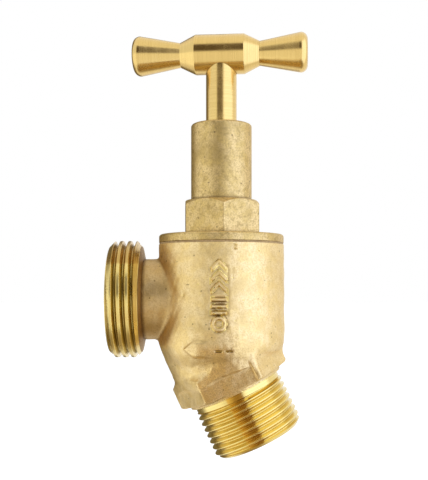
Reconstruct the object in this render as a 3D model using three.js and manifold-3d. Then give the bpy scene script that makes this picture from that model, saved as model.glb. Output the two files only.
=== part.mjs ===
// A brass hose tap with a T handle: a cast body with a threaded hose outlet at its side and a
// threaded inlet slanting down from a spanner hexagon, a bonnet screwed into its top, and a
// rising spindle that lifts a loose jumper valve off the seat inside.
//
// Millimetres, +Z up along the spindle. Everything is drawn about the point where the spindle
// axis crosses the outlet axis: the outlet points to -X and the inlet slants down towards +X.
// At the end the whole group moves so that the origin is on the inlet axis, at the shoulder
// where the inlet thread begins.

import * as THREE from "three";
import { mergeVertices } from "three/addons/utils/BufferGeometryUtils.js";
import Module from "manifold-3d";

const wasm = await Module();
wasm.setup();

// ---------------------------------------------------------------- driving dimensions

const RUNNING_GAP = 0.3; // between the moving screw and its nut thread
const FIT_GAP = 0.1; // round a plug in its hole
const FACE_GAP = 0.05; // between two faces that bear on each other
const PAST = 1; // how far a cutter reaches past the face that it cuts
const EDGE = 0.5; // a small chamfer on a turned edge
const CREST_SHARE = 0.18; // the flat on a thread's crest and in its root, in pitches

// A port thread starts on a cone from just below its root to just above its crests.
const RUN_OUT = { below: 0.2, above: 0.4, slope: 0.7 };

const BODY = {
  topR: 17.85,
  footR: 18.05,
  topZ: 15.5,
  bottomZ: -15.5,
  bottomRound: 1.6,
  chamberR: 13.5,
  bonnetBoreR: 14.7,
  bonnetBoreZ: 8.2,
  webTopZ: -10,
  webBottomZ: -12.6,
  seatHoleR: 7.5,
  seatLipR: 9.2,
  seatZ: -9,
  underSeatR: 9,
  underSeatZ: -20,
};

// Parallel pipe thread of nominal size 1, for the 25 mm hose coupling.
const OUTLET = {
  thread: { crestR: 16.62, rootR: 15.14, pitch: 2.309, sectors: 36 },
  endX: 31.5,
  threadFromX: 23.2,
  shoulderX: 21.8,
  shoulderR: 15.1,
  neckR: 11.5,
  neckRootX: 8,
  boreR: 9,
  mouthR: 11.8,
  mouthDepth: 7,
  leadIn: 1.9,
};

// Parallel pipe thread of nominal size 3/4. Distances run down the inlet axis from the point
// where it crosses the spindle axis.
const INLET = {
  thread: { crestR: 13.22, rootR: 12.06, pitch: 1.814, sectors: 30 },
  tilt: THREE.MathUtils.degToRad(25.4),
  crossingZ: -16.9,
  tubeR: 14.8,
  tubeFrom: -8,
  hexFrom: 1.06,
  hexTo: 8.7,
  hexCornerR: 16.7,
  hexChamferR: 14.8,
  hexChamferAngle: THREE.MathUtils.degToRad(30),
  bossR: 13.9,
  bossTo: 9.6,
  landR: 12.7,
  threadFrom: 10.7,
  end: 25.5,
  leadIn: 1.7,
  boreR: 9.5,
};

const BONNET = {
  flangeR: 17.8,
  flangeBottomZ: 16,
  flangeTopZ: 18.4,
  flangeRound: 0.8,
  hexTopZ: 28.1,
  hexCornerR: 11.9,
  hexChamferR: 10.1,
  hexChamferAngle: THREE.MathUtils.degToRad(40),
  hexTurn: THREE.MathUtils.degToRad(3.2),
  barrelR: 8.67,
  barrelTopZ: 49.9,
  barrelRound: 0.8,
  spigotR: 14.4,
  spigotBottomZ: 8.5,
  spigotBoreR: 7.3,
  nutFromZ: 12,
  nutToZ: 27,
  reliefZ: 29,
  boreR: 5.5,
  boreTopZ: 47.5,
  stemHoleR: 4.75,
};

const BODY_WASHER = { innerR: 14.85, outerR: 17.65 };

// The coarse screw that raises the spindle: 3 mm for each turn.
const DRIVE = { crestR: 6.5, rootR: 5.2, pitch: 3, sectors: 16 };

const SPINDLE = {
  footZ: -2.5,
  footR: 5,
  pinBoreR: 3.3,
  pinBoreTopZ: 13,
  screwFromZ: 6,
  screwToZ: 18,
  screwLeadIn: 1.8,
  landFromZ: 31.4,
  landToZ: 39.8,
  landR: 5.2,
  stemR: 4.4,
  shoulderZ: 70.6,
  spigotR: 2.6,
  rivetFromZ: 74.3,
  rivetR: 3.3,
  topZ: 75.5,
};

const O_RING = {
  sectionR: 0.75,
  sectionSides: 8,
  grooveR: 3.9,
  grooveWidth: 2.1,
  centresZ: [33.8, 37.4],
};

const HANDLE = {
  axisZ: 70.1,
  bossR: 5.65,
  bossHalf: 7,
  neckR: 3.3,
  neckX: 10.6,
  armR: 5.62,
  flareEndX: 22.6,
  endRound: 2,
  halfLength: 25,
  turn: THREE.MathUtils.degToRad(-5.6),
  offset: -0.35,
};

const JUMPER = {
  discR: 9.6,
  discBottomZ: -5,
  discTopZ: -2.6,
  discChamfer: 0.4,
  pinR: 3.1,
  pinTopZ: 12,
  pinChamfer: 0.8,
  studR: 2,
  studBottomZ: -12.6,
};

const JUMPER_WASHER = { outerR: 9.3, innerR: 2.2 };
const JUMPER_NUT = { cornerR: 4.6, height: 3 };

// ---------------------------------------------------------------- materials

const finish = (color, roughness, metalness) =>
  new THREE.MeshStandardMaterial({ color, roughness, metalness });
const castBrass = () => finish(0xc9a765, 0.55, 0.9);
const flangeBrass = () => finish(0xb79a62, 0.5, 0.9);
const turnedBrass = () => finish(0xd8b45f, 0.25, 1);
const fibre = () => finish(0x6e4a33, 0.9, 0);
const blackRubber = () => finish(0x1c1c1c, 0.8, 0);
const valveRubber = () => finish(0x33302d, 0.85, 0);

// ---------------------------------------------------------------- solids

const SEGMENTS = 44;
const SMALL_SEGMENTS = 24;
const WELD = 1e-4;

// A closed geometry as a solid that can be joined and cut.
function solidOf(geometry) {
  const bare = geometry.index ? geometry.toNonIndexed() : geometry;
  bare.deleteAttribute("normal");
  bare.deleteAttribute("uv");
  const welded = mergeVertices(bare, WELD);
  return new wasm.Manifold(
    new wasm.Mesh({
      numProp: 3,
      vertProperties: welded.attributes.position.array,
      triVerts: new Uint32Array(welded.index.array),
    }),
  );
}

function geometryOf(solid) {
  const mesh = solid.getMesh();
  const geometry = new THREE.BufferGeometry();
  geometry.setAttribute("position", new THREE.BufferAttribute(mesh.vertProperties, 3));
  geometry.setIndex(new THREE.BufferAttribute(mesh.triVerts, 1));
  return geometry;
}

const placed = (solid, matrix) => solidOf(geometryOf(solid).applyMatrix4(matrix));
const joined = (...solids) => solids.reduce((all, next) => all.add(next));
const cut = (solid, ...cutters) => cutters.reduce((rest, cutter) => rest.subtract(cutter), solid);

// A profile of [radius, height] points turned about +Z. It starts and ends on the axis, or closes.
function turned(profile, segments = SEGMENTS) {
  const points = profile.map(([radius, height]) => new THREE.Vector2(radius, height));
  return solidOf(new THREE.LatheGeometry(points, segments).rotateX(Math.PI / 2));
}

function rod(radius, fromZ, toZ, segments = SEGMENTS) {
  return turned([[0, fromZ], [radius, fromZ], [radius, toZ], [0, toZ]], segments);
}

function ring(innerR, outerR, fromZ, toZ, segments = SEGMENTS) {
  const corners = [[innerR, fromZ], [outerR, fromZ], [outerR, toZ], [innerR, toZ]];
  return turned([...corners, corners[0]], segments);
}

// Points of a quarter round between two directions, for a turned edge.
function roundedEdge(centreR, centreZ, radius, fromAngle, toAngle, steps = 4) {
  return Array.from({ length: steps + 1 }, (_, i) => {
    const angle = fromAngle + ((toAngle - fromAngle) * i) / steps;
    return [centreR + radius * Math.cos(angle), centreZ + radius * Math.sin(angle)];
  });
}

// A hexagonal prism with one corner towards +X, turned by the given angle.
function hexagon(cornerR, fromZ, toZ, turn = 0) {
  const shape = new THREE.Shape();
  for (let i = 0; i < 6; i++) {
    const angle = turn + (i * Math.PI) / 3;
    const corner = [cornerR * Math.cos(angle), cornerR * Math.sin(angle)];
    if (i === 0) shape.moveTo(...corner);
    else shape.lineTo(...corner);
  }
  const prism = new THREE.ExtrudeGeometry(shape, { depth: toZ - fromZ, bevelEnabled: false });
  return solidOf(prism.translate(0, 0, fromZ));
}

// A right-hand screw about +Z that covers at least fromZ to toZ. Its surface is one ribbon, a
// pitch wide, wound up the screw so that each turn's upper edge is the next turn's lower edge.
// Grown by a gap on every flank, the same call gives the cutter for the matching nut thread.
function screw({ crestR, rootR, pitch, sectors }, fromZ, toZ, gap = 0) {
  const flat = CREST_SHARE + gap / pitch;
  const flank = (1 - 2 * CREST_SHARE - gap / pitch) / 2;
  const outline = [
    [rootR + gap, 0],
    [crestR + gap, flank],
    [crestR + gap, flank + flat],
    [rootR + gap, 2 * flank + flat],
    [rootR + gap, 1],
  ];
  const last = outline.length - 1;
  const firstRow = Math.floor(sectors * (fromZ / pitch - 1));
  const rows = Math.ceil((sectors * toZ) / pitch) - firstRow;
  const positions = [];
  for (let row = 0; row <= rows; row++) {
    const turns = (firstRow + row) / sectors;
    for (const [radius, share] of outline) {
      const angle = 2 * Math.PI * turns;
      positions.push(radius * Math.cos(angle), radius * Math.sin(angle), pitch * (turns + share));
    }
  }
  const bottom = (rows + 1) * outline.length;
  const top = bottom + 1;
  positions.push(0, 0, pitch * (firstRow / sectors + 0.5));
  positions.push(0, 0, pitch * ((firstRow + rows) / sectors + 0.5));
  const at = (row, k) =>
    k === last && row + sectors <= rows ? at(row + sectors, 0) : row * outline.length + k;
  const faces = [];
  for (let row = 0; row < rows; row++) {
    for (let k = 0; k < last; k++) {
      faces.push(at(row, k), at(row + 1, k), at(row + 1, k + 1));
      faces.push(at(row, k), at(row + 1, k + 1), at(row, k + 1));
    }
  }
  for (let i = 0; i < sectors; i++) {
    const upper = rows - sectors + i;
    faces.push(bottom, at(i + 1, 0), at(i, 0));
    faces.push(top, at(upper, last), at(upper + 1, last));
  }
  for (let k = 0; k < last; k++) {
    faces.push(bottom, at(0, k), at(0, k + 1));
    faces.push(top, at(rows, k + 1), at(rows, k));
  }
  const geometry = new THREE.BufferGeometry();
  geometry.setAttribute("position", new THREE.Float32BufferAttribute(positions, 3));
  geometry.setIndex(faces);
  return solidOf(geometry);
}

// A male port thread from one height to another, run out at its start and with a lead-in
// chamfer at its end.
function portThread(thread, fromZ, toZ, leadIn) {
  const clearR = thread.crestR + RUN_OUT.above;
  const startR = thread.rootR - RUN_OUT.below;
  const blank = turned([
    [0, fromZ],
    [startR, fromZ],
    [clearR, fromZ + (clearR - startR) * RUN_OUT.slope],
    [clearR, toZ - leadIn],
    [clearR - leadIn, toZ],
    [0, toZ],
  ]);
  return screw(thread, fromZ, toZ).intersect(blank);
}

// ---------------------------------------------------------------- tap body

// Port frames: local +Z runs out of the tap along the port's axis.
const outletFrame = new THREE.Matrix4().makeRotationY(-Math.PI / 2);
const inletFrame = new THREE.Matrix4()
  .makeTranslation(0, 0, INLET.crossingZ)
  .multiply(new THREE.Matrix4().makeRotationY(Math.PI - INLET.tilt));

function barrelOfBody() {
  const { topR, footR, topZ, bottomZ, bottomRound } = BODY;
  return turned([
    [0, bottomZ],
    ...roundedEdge(footR - bottomRound, bottomZ + bottomRound, bottomRound, -Math.PI / 2, 0),
    [topR, topZ],
    [0, topZ],
  ]);
}

function outletSpout() {
  const { thread, endX, threadFromX, shoulderX, shoulderR, neckR, neckRootX, leadIn } = OUTLET;
  const neck = turned([
    [0, neckRootX],
    [neckR, neckRootX],
    [neckR, shoulderX],
    [shoulderR, threadFromX],
    [shoulderR, threadFromX + 1],
    [0, threadFromX + 1],
  ]);
  return placed(joined(neck, portThread(thread, threadFromX, endX, leadIn)), outletFrame);
}

function inletTail() {
  const { thread, hexFrom, hexTo, hexCornerR, hexChamferR, hexChamferAngle } = INLET;
  const chamferRise = (hexCornerR - hexChamferR) * Math.tan(hexChamferAngle);
  const hexBlank = turned([
    [0, hexFrom],
    [hexChamferR, hexFrom],
    [hexCornerR, hexFrom + chamferRise],
    [hexCornerR, hexTo - chamferRise / 2],
    [hexCornerR - (hexCornerR - hexChamferR) / 2, hexTo],
    [0, hexTo],
  ]);
  const hex = hexagon(hexCornerR, hexFrom, hexTo).intersect(hexBlank);
  const tube = rod(INLET.tubeR, INLET.tubeFrom, hexFrom + PAST);
  const boss = rod(INLET.bossR, hexTo - PAST, INLET.bossTo);
  const land = rod(INLET.landR, INLET.bossTo - PAST, INLET.threadFrom + PAST / 2);
  const tail = portThread(thread, INLET.threadFrom, INLET.end, INLET.leadIn);
  return placed(joined(tube, hex, boss, land, tail), inletFrame);
}

function tapBody() {
  const outside = joined(barrelOfBody(), outletSpout(), inletTail());
  const hollow = joined(
    rod(BODY.bonnetBoreR, BODY.bonnetBoreZ, BODY.topZ + PAST),
    rod(BODY.chamberR, BODY.webTopZ, BODY.bonnetBoreZ + PAST),
    rod(BODY.seatHoleR, BODY.webBottomZ - PAST, BODY.webTopZ + PAST),
    rod(BODY.underSeatR, BODY.underSeatZ, BODY.webBottomZ),
  );
  const outletBore = placed(
    joined(
      rod(OUTLET.boreR, 0, OUTLET.endX + PAST),
      rod(OUTLET.mouthR, OUTLET.endX - OUTLET.mouthDepth, OUTLET.endX + PAST),
    ),
    outletFrame,
  );
  const inletBore = placed(rod(INLET.boreR, 0, INLET.end + PAST), inletFrame);
  const seatLip = ring(BODY.seatHoleR, BODY.seatLipR, BODY.webTopZ - PAST, BODY.seatZ);
  return joined(cut(outside, hollow, outletBore, inletBore), seatLip);
}

// ---------------------------------------------------------------- bonnet

function bonnet() {
  const { flangeR, flangeBottomZ, flangeTopZ, flangeRound, spigotR, spigotBottomZ } = BONNET;
  const { hexTopZ, hexCornerR, hexChamferR, barrelR, barrelTopZ, barrelRound } = BONNET;
  const flange = turned([
    [0, spigotBottomZ],
    [spigotR - EDGE, spigotBottomZ],
    [spigotR, spigotBottomZ + EDGE],
    [spigotR, flangeBottomZ],
    [flangeR, flangeBottomZ],
    ...roundedEdge(flangeR - flangeRound, flangeTopZ - flangeRound, flangeRound, 0, Math.PI / 2),
    [0, flangeTopZ],
  ]);
  const chamferDrop = (hexCornerR - hexChamferR) * Math.tan(BONNET.hexChamferAngle);
  const hexBlank = turned([
    [0, flangeTopZ - PAST],
    [hexCornerR, flangeTopZ - PAST],
    [hexCornerR, hexTopZ - chamferDrop],
    [hexChamferR, hexTopZ],
    [0, hexTopZ],
  ]);
  const cornerAngle = -Math.PI / 2 + BONNET.hexTurn;
  const hex = hexagon(hexCornerR, flangeTopZ - PAST, hexTopZ, cornerAngle).intersect(hexBlank);
  const barrel = turned([
    [0, hexTopZ - PAST],
    [barrelR, hexTopZ - PAST],
    ...roundedEdge(barrelR - barrelRound, barrelTopZ - barrelRound, barrelRound, 0, Math.PI / 2),
    [0, barrelTopZ],
  ]);
  const driveR = DRIVE.crestR + RUNNING_GAP + FIT_GAP;
  const bore = turned([
    [0, spigotBottomZ - PAST],
    [BONNET.spigotBoreR, spigotBottomZ - PAST],
    [BONNET.spigotBoreR, BONNET.nutFromZ],
    [DRIVE.rootR, BONNET.nutFromZ + 1],
    [DRIVE.rootR, BONNET.nutToZ],
    [driveR, BONNET.nutToZ],
    [driveR, BONNET.reliefZ - 1],
    [BONNET.boreR, BONNET.reliefZ],
    [BONNET.boreR, BONNET.boreTopZ],
    [BONNET.stemHoleR, BONNET.boreTopZ],
    [BONNET.stemHoleR, barrelTopZ + PAST],
    [0, barrelTopZ + PAST],
  ], SMALL_SEGMENTS);
  const nutZone = rod(driveR + PAST, BONNET.nutFromZ, BONNET.nutToZ + PAST / 2, SMALL_SEGMENTS);
  const nutThread = screw(DRIVE, BONNET.nutFromZ, BONNET.nutToZ + PAST, RUNNING_GAP);
  return cut(joined(flange, hex, barrel), bore, nutThread.intersect(nutZone));
}

function bodyWasher() {
  const { innerR, outerR } = BODY_WASHER;
  return ring(innerR, outerR, BODY.topZ + FACE_GAP, BONNET.flangeBottomZ - FACE_GAP);
}

// ---------------------------------------------------------------- spindle and its seals

function spindle() {
  const half = O_RING.grooveWidth / 2;
  const grooves = O_RING.centresZ.flatMap((z) => [
    [SPINDLE.landR, z - half],
    [O_RING.grooveR, z - half],
    [O_RING.grooveR, z + half],
    [SPINDLE.landR, z + half],
  ]);
  const shaft = turned([
    [0, SPINDLE.footZ],
    [SPINDLE.footR - EDGE, SPINDLE.footZ],
    [SPINDLE.footR, SPINDLE.footZ + EDGE],
    [SPINDLE.footR, SPINDLE.landFromZ - EDGE],
    [SPINDLE.landR, SPINDLE.landFromZ],
    ...grooves,
    [SPINDLE.landR, SPINDLE.landToZ - EDGE],
    [SPINDLE.stemR, SPINDLE.landToZ],
    [SPINDLE.stemR, SPINDLE.shoulderZ],
    [SPINDLE.spigotR, SPINDLE.shoulderZ],
    [SPINDLE.spigotR, SPINDLE.rivetFromZ],
    [SPINDLE.rivetR, SPINDLE.topZ],
    [0, SPINDLE.topZ],
  ], SMALL_SEGMENTS);
  const drive = portThread(DRIVE, SPINDLE.screwFromZ, SPINDLE.screwToZ, SPINDLE.screwLeadIn);
  const pinBore = rod(SPINDLE.pinBoreR, SPINDLE.footZ - PAST, SPINDLE.pinBoreTopZ, SMALL_SEGMENTS);
  return cut(joined(shaft, drive), pinBore);
}

function oRing() {
  const { grooveR, sectionR, sectionSides } = O_RING;
  const centreR = grooveR + sectionR + FACE_GAP;
  const torus = new THREE.TorusGeometry(centreR, sectionR - FACE_GAP, sectionSides, SMALL_SEGMENTS);
  return solidOf(torus);
}

// ---------------------------------------------------------------- handle

// One half of the bar's outline, from its end face to the middle of the boss.
function armOutline() {
  const { halfLength, endRound, armR, flareEndX, neckR, neckX, bossR, bossHalf } = HANDLE;
  return [
    [0, halfLength],
    ...roundedEdge(armR - endRound, halfLength - endRound, endRound, Math.PI / 2, 0),
    [armR, flareEndX],
    [neckR, neckX],
    [bossR, bossHalf],
  ];
}

function teeHandle() {
  const arm = armOutline();
  const mirrored = arm.map(([radius, x]) => [radius, -x]);
  const outline = [...mirrored, ...arm.reverse()];
  const { offset, axisZ } = HANDLE;
  const toX = new THREE.Matrix4().makeRotationY(Math.PI / 2).setPosition(offset, 0, axisZ);
  const bar = placed(turned(outline, SMALL_SEGMENTS), toX);
  const socket = rod(SPINDLE.stemR + FIT_GAP, 0, SPINDLE.shoulderZ + FACE_GAP);
  const rivetHole = turned([
    [0, SPINDLE.shoulderZ - PAST],
    [SPINDLE.spigotR + FIT_GAP, SPINDLE.shoulderZ - PAST],
    [SPINDLE.spigotR + FIT_GAP, SPINDLE.rivetFromZ - FIT_GAP],
    [SPINDLE.rivetR + FIT_GAP * 2, SPINDLE.topZ],
    [SPINDLE.rivetR + FIT_GAP * 2, SPINDLE.topZ + PAST],
    [0, SPINDLE.topZ + PAST],
  ], SMALL_SEGMENTS);
  return cut(bar, socket, rivetHole);
}

// ---------------------------------------------------------------- jumper valve

function jumperValve() {
  return turned([
    [0, JUMPER.studBottomZ],
    [JUMPER.studR, JUMPER.studBottomZ],
    [JUMPER.studR, JUMPER.discBottomZ],
    [JUMPER.discR, JUMPER.discBottomZ],
    [JUMPER.discR, JUMPER.discTopZ - JUMPER.discChamfer],
    [JUMPER.discR - JUMPER.discChamfer, JUMPER.discTopZ],
    [JUMPER.pinR, JUMPER.discTopZ],
    [JUMPER.pinR, JUMPER.pinTopZ - JUMPER.pinChamfer],
    [JUMPER.pinR - JUMPER.pinChamfer, JUMPER.pinTopZ],
    [0, JUMPER.pinTopZ],
  ], SMALL_SEGMENTS);
}

function jumperWasher() {
  const { innerR, outerR } = JUMPER_WASHER;
  const bottomZ = BODY.seatZ + FACE_GAP;
  return ring(innerR, outerR, bottomZ, JUMPER.discBottomZ - FACE_GAP, SMALL_SEGMENTS);
}

function jumperNut() {
  const topZ = BODY.seatZ;
  const bottomZ = topZ - JUMPER_NUT.height;
  const nut = hexagon(JUMPER_NUT.cornerR, bottomZ, topZ);
  return cut(nut, rod(JUMPER.studR + FIT_GAP, bottomZ - PAST, topZ + PAST, SMALL_SEGMENTS));
}

// ---------------------------------------------------------------- assembly

function part(name, solid, material) {
  const geometry = geometryOf(solid).toNonIndexed();
  geometry.computeVertexNormals();
  const mesh = new THREE.Mesh(geometry, material);
  mesh.name = name;
  return mesh;
}

// What stays still: the body, and the bonnet screwed down on its washer.
const fixed = new THREE.Group();
fixed.add(
  part("tap_body", tapBody(), castBrass()),
  part("bonnet", bonnet(), flangeBrass()),
  part("body_washer", bodyWasher(), fibre()),
);

// What rises without turning: the loose valve that the spindle's foot holds down.
const valve = new THREE.Group();
valve.add(
  part("jumper_valve", jumperValve(), turnedBrass()),
  part("jumper_washer", jumperWasher(), valveRubber()),
  part("jumper_nut", jumperNut(), turnedBrass()),
);

// What turns and rises: the spindle, its seals and the bar that turns it.
const turning = new THREE.Group();
turning.add(part("spindle", spindle(), turnedBrass()));
["lower", "upper"].forEach((which, i) => {
  const seal = part(`spindle_o_ring_${which}`, oRing(), blackRubber());
  seal.position.z = O_RING.centresZ[i];
  turning.add(seal);
});
const handle = part("tee_handle", teeHandle(), turnedBrass());
handle.rotation.z = HANDLE.turn;
turning.add(handle);

const hoseTap = new THREE.Group();
hoseTap.add(fixed, valve, turning);
const shoulder = new THREE.Vector3(0, 0, INLET.bossTo).applyMatrix4(inletFrame);
hoseTap.position.copy(shoulder).negate();

export default hoseTap;
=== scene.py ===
"""A brass hose tap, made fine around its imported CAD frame.

Every shown piece is rebuilt here as a smooth mesh of the same size as its CAD node. Lengths in
the shape functions are millimetres about the point where the spindle axis crosses the outlet
axis, and DRAWING_TO_ROW puts them into the frame's metres.
"""

import math

import bpy
import numpy as np
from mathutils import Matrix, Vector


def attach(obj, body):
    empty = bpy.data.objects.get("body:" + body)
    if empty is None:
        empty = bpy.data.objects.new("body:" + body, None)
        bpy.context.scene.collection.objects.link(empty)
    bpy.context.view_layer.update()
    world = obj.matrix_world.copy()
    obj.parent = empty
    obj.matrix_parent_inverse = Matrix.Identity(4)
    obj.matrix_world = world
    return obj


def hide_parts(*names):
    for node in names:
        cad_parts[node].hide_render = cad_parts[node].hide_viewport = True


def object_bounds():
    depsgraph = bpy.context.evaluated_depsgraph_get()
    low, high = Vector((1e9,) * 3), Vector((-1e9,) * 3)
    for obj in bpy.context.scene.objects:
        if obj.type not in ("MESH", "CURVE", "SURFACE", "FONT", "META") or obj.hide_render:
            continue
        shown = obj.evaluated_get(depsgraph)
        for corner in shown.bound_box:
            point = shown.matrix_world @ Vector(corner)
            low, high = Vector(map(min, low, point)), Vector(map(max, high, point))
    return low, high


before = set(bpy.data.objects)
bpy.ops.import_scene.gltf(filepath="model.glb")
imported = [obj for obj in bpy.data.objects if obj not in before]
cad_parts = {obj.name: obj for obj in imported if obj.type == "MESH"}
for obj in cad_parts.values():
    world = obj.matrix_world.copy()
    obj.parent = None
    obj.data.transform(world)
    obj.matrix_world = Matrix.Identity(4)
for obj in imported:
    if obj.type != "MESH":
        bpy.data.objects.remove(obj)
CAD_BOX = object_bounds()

import openvdb
from mathutils import Matrix, Vector

# ---------- driving dimensions

MM = 0.001

BODY = {
    "top_r": 17.85,
    "foot_r": 18.05,
    "top_z": 15.5,
    "bottom_z": -15.5,
    "bottom_round": 2.6,
    "chamber_r": 13.5,
    "bonnet_bore_r": 14.7,
    "bonnet_bore_z": 8.2,
    "web_top_z": -10.0,
    "web_bottom_z": -12.6,
    "seat_hole_r": 7.5,
    "seat_lip_r": 9.2,
    "seat_foot_r": 9.6,
    "seat_z": -9.0,
    "under_seat_r": 9.0,
    "under_seat_z": -20.0,
}

# A parallel pipe thread of nominal size 1; distances run out from the spindle axis. start is
# how far the beginning of the thread is turned about its own axis.
OUTLET = {
    "crest_r": 16.62,
    "root_r": 15.14,
    "pitch": 2.309,
    "groove": 0.84,
    "start": math.radians(90),
    "end": 31.5,
    "thread_from": 22.6,
    "shoulder": 21.8,
    "shoulder_r": 15.1,
    "neck_r": 11.5,
    "bore_r": 9.0,
    "bore_from": 5.0,
    "mouth_r": 11.8,
    "mouth_depth": 7.0,
    "mouth_chamfer": 0.5,
    "lead_in": 1.9,
}

# A parallel pipe thread of nominal size 3/4; distances run down the inlet axis from where it
# crosses the spindle axis.
INLET = {
    "crest_r": 13.22,
    "root_r": 12.06,
    "pitch": 1.814,
    "groove": 1.09,
    "start": math.radians(120),
    "tilt": math.radians(25.4),
    "crossing_z": -16.9,
    "tube_r": 14.75,
    "tube_from": -12.0,
    "tube_round": 6.0,
    "tube_to": 3.0,
    "hex_from": 1.06,
    "hex_top_r": 14.8,
    "hex_to": 8.7,
    "hex_foot_r": 15.8,
    "hex_corner_r": 16.7,
    "boss_r": 13.9,
    "boss_to": 9.6,
    "land_r": 12.7,
    "thread_from": 10.7,
    "end": 25.5,
    "lead_in": 1.7,
    "bore_r": 9.5,
    "bore_chamfer": 0.6,
}

# A thread starts on a cone from just below its root to just above its crests.
RUN_OUT = {"below": 0.2, "above": 0.4, "slope": 0.7}

BONNET = {
    "flange_r": 17.8,
    "flange_bottom_z": 16.0,
    "flange_top_z": 18.4,
    "flange_round": 0.8,
    "hex_top_z": 28.1,
    "hex_corner_r": 11.9,
    "hex_chamfer_r": 10.1,
    "hex_chamfer": math.radians(39.9),
    "hex_turn": math.radians(3.2),
    "barrel_r": 8.67,
    "barrel_top_z": 49.9,
    "barrel_round": 0.8,
    "spigot_r": 14.4,
    "spigot_bottom_z": 8.5,
    "spigot_bore_r": 7.3,
    "nut_from_z": 12.0,
    "nut_to_z": 27.0,
    "relief_z": 29.0,
    "bore_r": 5.5,
    "bore_top_z": 47.5,
    "stem_hole_r": 4.75,
}

BODY_WASHER = {"inner_r": 14.85, "outer_r": 17.7, "gap": 0.01}

DRIVE = {
    "crest_r": 6.5,
    "root_r": 5.2,
    "pitch": 3.0,
    "groove": 1.0,
    "gap": 0.3,
    "lower_run_out": 1.5,
    "upper_run_out": 1.8,
}

SPINDLE = {
    "foot_z": -2.5,
    "foot_r": 5.0,
    "pin_bore_r": 3.3,
    "pin_bore_top_z": 13.0,
    "screw_from_z": 6.0,
    "screw_to_z": 18.0,
    "land_from_z": 31.4,
    "land_to_z": 39.8,
    "land_r": 5.2,
    "stem_r": 4.4,
    "shoulder_z": 70.6,
    "spigot_r": 2.6,
    "rivet_from_z": 74.3,
    "rivet_r": 3.3,
    "rivet_gap": 0.03,
    "top_z": 75.7,
}

O_RING = {"section_r": 0.7, "groove_r": 3.9, "groove_width": 2.1, "centres_z": (33.8, 37.4)}

HANDLE = {
    "axis_z": 70.1,
    "boss_r": 5.65,
    "boss_half": 7.0,
    "boss_edge": 0.12,
    "neck_r": 3.3,
    "neck_x": 10.6,
    "neck_round": 1.2,
    "arm_r": 5.62,
    "arm_x": 23.0,
    "end_round": 2.0,
    "half_length": 25.0,
    "turn": math.radians(-5.6),
    "offset": -0.35,
}

JUMPER = {
    "disc_r": 9.6,
    "disc_bottom_z": -5.0,
    "disc_top_z": -2.6,
    "pin_r": 3.1,
    "pin_top_z": 12.0,
    "stud_r": 2.0,
    "stud_bottom_z": -12.6,
    "washer_r": 9.3,
    "nut_corner_r": 4.6,
    "nut_height": 3.0,
}

# The frame's origin is on the inlet's axis, at the shoulder where its thread begins.
SPINDLE_X = -INLET["boss_to"] * math.sin(INLET["tilt"])
OUTLET_Z = INLET["boss_to"] * math.cos(INLET["tilt"]) - INLET["crossing_z"]
DRAWING_TO_ROW = Matrix.Translation((SPINDLE_X * MM, 0, OUTLET_Z * MM)) @ Matrix.Scale(MM, 4)

OUTLET_FRAME = Matrix.Rotation(-math.pi / 2, 4, "Y")
INLET_FRAME = Matrix.Translation((0, 0, INLET["crossing_z"])) @ Matrix.Rotation(
    math.pi - INLET["tilt"], 4, "Y"
)

FINE = 128  # sides of the larger round surfaces
SMALL = 64  # sides of the smaller ones
LAP = 1.0  # how far a cutter runs past what it cuts, and how deep joined solids reach

# ---------- mesh tools


def new_object(name, mesh):
    obj = bpy.data.objects.new(name, mesh)
    bpy.context.scene.collection.objects.link(obj)
    return obj


def mesh_object(name, points, faces):
    """An object from points and faces. Faces that lost a corner to welding are dropped."""
    mesh = bpy.data.meshes.new(name)
    mesh.from_pydata([tuple(p) for p in points], [], faces)
    mesh.validate()
    return new_object(name, mesh)


def lathe(name, profile, sides=FINE):
    """A closed solid: [radius, height] points turned about Z, with a flat across each end."""
    angles = np.arange(sides) * 2 * math.pi / sides
    points = [(0, 0, profile[0][1]), (0, 0, profile[-1][1])]
    for radius, height in profile:
        points += [(radius * math.cos(a), radius * math.sin(a), height) for a in angles]
    faces = []
    for i in range(sides):
        j = (i + 1) % sides
        faces.append((0, 2 + j, 2 + i))
        last = 2 + (len(profile) - 1) * sides
        faces.append((1, last + i, last + j))
        for k in range(len(profile) - 1):
            low, high = 2 + k * sides, 2 + (k + 1) * sides
            faces.append((low + i, low + j, high + j, high + i))
    return mesh_object(name, points, faces)


def rod(name, radius, low, high, sides=FINE):
    return lathe(name, [(radius, low), (radius, high)], sides)


def arc(centre_r, centre_z, radius, start, stop, steps=6):
    """Profile points round a quarter turn."""
    angles = np.linspace(start, stop, steps + 1)
    return [(centre_r + radius * math.cos(a), centre_z + radius * math.sin(a)) for a in angles]


def hexagon(name, corner_r, low, high, turn=0.0, edge=0.25):
    """A hexagonal prism about Z with a corner towards +X and a small flat on each edge."""
    outline = []
    for i in range(6):
        corner, back, ahead = (
            Vector((corner_r * math.cos(a), corner_r * math.sin(a)))
            for a in (turn + (i + d) * math.pi / 3 for d in (0, -1, 1))
        )
        outline.append(corner.lerp(back, edge / corner_r))
        outline.append(corner.lerp(ahead, edge / corner_r))
    count = len(outline)
    points = [(x, y, z) for z in (low, high) for x, y in outline]
    faces = [tuple(reversed(range(count))), tuple(range(count, 2 * count))]
    faces += [(i, (i + 1) % count, count + (i + 1) % count, count + i) for i in range(count)]
    return mesh_object(name, points, faces)


# Half a rounded thread: the share of its depth that is reached at each share of the pitch.
FLANK = ((0.0, 0.03), (0.05, 0.06), (0.88, 0.345), (0.97, 0.385), (1.0, 0.42))


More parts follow.
